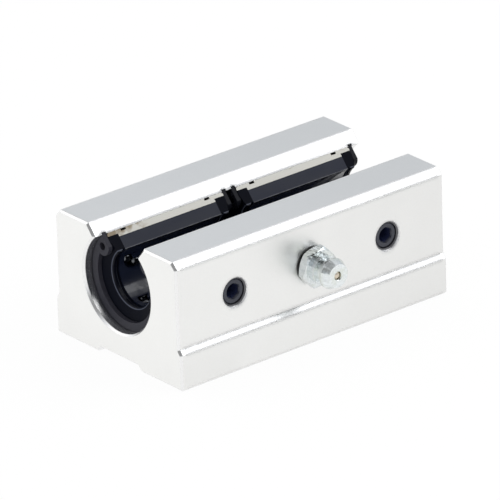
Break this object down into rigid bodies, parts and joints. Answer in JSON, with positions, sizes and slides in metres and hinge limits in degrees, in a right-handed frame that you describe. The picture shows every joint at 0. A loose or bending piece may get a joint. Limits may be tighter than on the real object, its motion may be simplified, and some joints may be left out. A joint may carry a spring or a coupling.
{
  "type": "linear bearing block",
  "caption": "Open tandem bearing block with a top slot for a supported round rail, recirculating ball bearings, retaining rings, set screws and a side grease nipple.",
  "frame": {"origin": "centre of the four mounting holes, on the mounting face", "axes": "+X along the rail, -Y towards the grease nipple, +Z out of the block through the rail slot"},
  "size_m": [0.07, 0.0473, 0.0276],
  "materials": {
    "housing": "satin anodised extrusion with bright machined edges",
    "sleeve": "ground steel with a film of grease",
    "cage": "moulded black resin",
    "seal": "moulded black rubber",
    "balls": "polished bearing balls",
    "retaining_ring": "blackened spring steel",
    "set_screw": "black oxide",
    "nipple": "bright zinc plate",
    "check_ball": "dull brass colour",
    "spring": "drawn wire"
  },
  "bodies": {
    "block": {"housing": "housing", "front_bearing_sleeve": "sleeve", "rear_bearing_sleeve": "sleeve", "front_ball_cage": "cage", "rear_ball_cage": "cage", "front_outer_seal": "seal", "front_inner_seal": "seal", "rear_inner_seal": "seal", "rear_outer_seal": "seal", "front_left_ball_circuit": "balls", "front_bottom_ball_circuit": "balls", "front_right_ball_circuit": "balls", "rear_left_ball_circuit": "balls", "rear_bottom_ball_circuit": "balls", "rear_right_ball_circuit": "balls", "front_outer_retaining_ring": "retaining_ring", "front_inner_retaining_ring": "retaining_ring", "rear_inner_retaining_ring": "retaining_ring", "rear_outer_retaining_ring": "retaining_ring", "front_set_screw": "set_screw", "rear_set_screw": "set_screw", "grease_nipple_body": "nipple", "nipple_spring": "spring"},
    "check_ball": {"nipple_check_ball": "check_ball"}
  },
  "joints": [
    {"name": "check_ball_lift", "type": "slide", "parent": "block", "child": "check_ball", "axis": [0, 1, 0], "range_m": [0, 0.0006], "stiffness_N_per_m": 300, "springref_m": -0.001, "deforming": ["nipple_spring"]}
  ]
}
